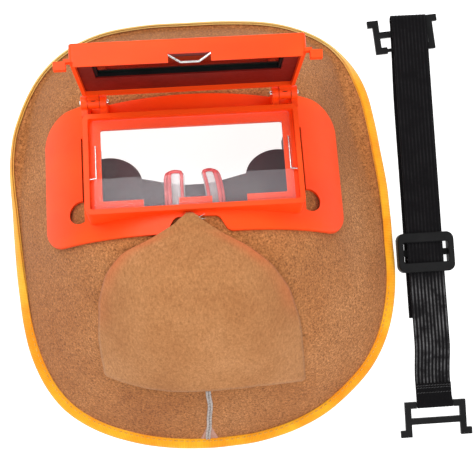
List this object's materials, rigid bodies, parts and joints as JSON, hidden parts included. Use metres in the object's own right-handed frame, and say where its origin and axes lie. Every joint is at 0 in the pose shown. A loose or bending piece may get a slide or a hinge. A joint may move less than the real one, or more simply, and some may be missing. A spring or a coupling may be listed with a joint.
{
  "type": "welding mask",
  "caption": "Leather welding mask with flip-up filter goggles, nose flap, bound rim and a detached adjustable elastic head strap with hook clips.",
  "frame": {"origin": "centre of the face opening, in the plane of the mask's rim, under the goggles' middle line", "axes": "+Z out of the face, +Y to the forehead, +X to the side where the strap lies"},
  "size_m": [0.2766, 0.267, 0.1371],
  "materials": {
    "leather": "suede",
    "flap_leather": "smooth suede",
    "binding": "woven tape",
    "seam_thread": "matte",
    "orange_plastic": "satin moulded",
    "black_rubber": "matte",
    "clear_plastic": "polished",
    "pad_clear": "translucent",
    "steel": "bright drawn wire",
    "black_plastic": "moulded",
    "filter_dark": "polished dark",
    "solar": "glassy",
    "webbing": "ribbed elastic"
  },
  "bodies": {
    "mask": {"leather_shell": "leather", "edge_binding": "binding", "nose_flap": "flap_leather", "chin_seam": "seam_thread", "base_frame": "orange_plastic", "rear_clamp": "black_plastic", "face_seal": "black_rubber", "inner_lens": "clear_plastic", "lens_spring_left": "steel", "lens_spring_right": "steel", "nose_pad_left": "pad_clear", "nose_pad_right": "pad_clear", "hinge_pin_left": "steel", "hinge_pin_right": "steel"},
    "flip_cover": {"cover_frame": "orange_plastic", "cover_retainer": "orange_plastic", "filter_housing": "black_plastic", "filter_glass": "filter_dark", "solar_strip": "solar", "outer_lens": "clear_plastic", "cover_wire": "steel"},
    "strap": {"strap_webbing": "webbing"},
    "slider": {"slider": "black_plastic", "strap_end_loop": "webbing"},
    "clip_a": {"clip_a": "black_plastic"},
    "clip_b": {"clip_b": "black_plastic"}
  },
  "joints": [
    {"name": "cover_hinge", "type": "hinge", "parent": "mask", "child": "flip_cover", "pos_m": [0, 0.07043, 0.07112], "axis": [-1, 0, 0], "range_deg": [-83, 32]},
    {"name": "strap_lift", "type": "slide", "parent": "mask", "child": "strap", "axis": [0, 0, 1], "range_m": [0, 0.3]},
    {"name": "slider_slide", "type": "slide", "parent": "strap", "child": "slider", "axis": [0, 1, 0], "range_m": [-0.035, 0.04]},
    {"name": "clip_a_swing", "type": "hinge", "parent": "strap", "child": "clip_a", "pos_m": [0.141, -0.1148, 0.0022], "axis": [-1, 0, 0], "range_deg": [0, 150]},
    {"name": "clip_b_slide", "type": "slide", "parent": "strap", "child": "clip_b", "axis": [0, 1, 0], "range_m": [-0.04, 0.004]}
  ]
}
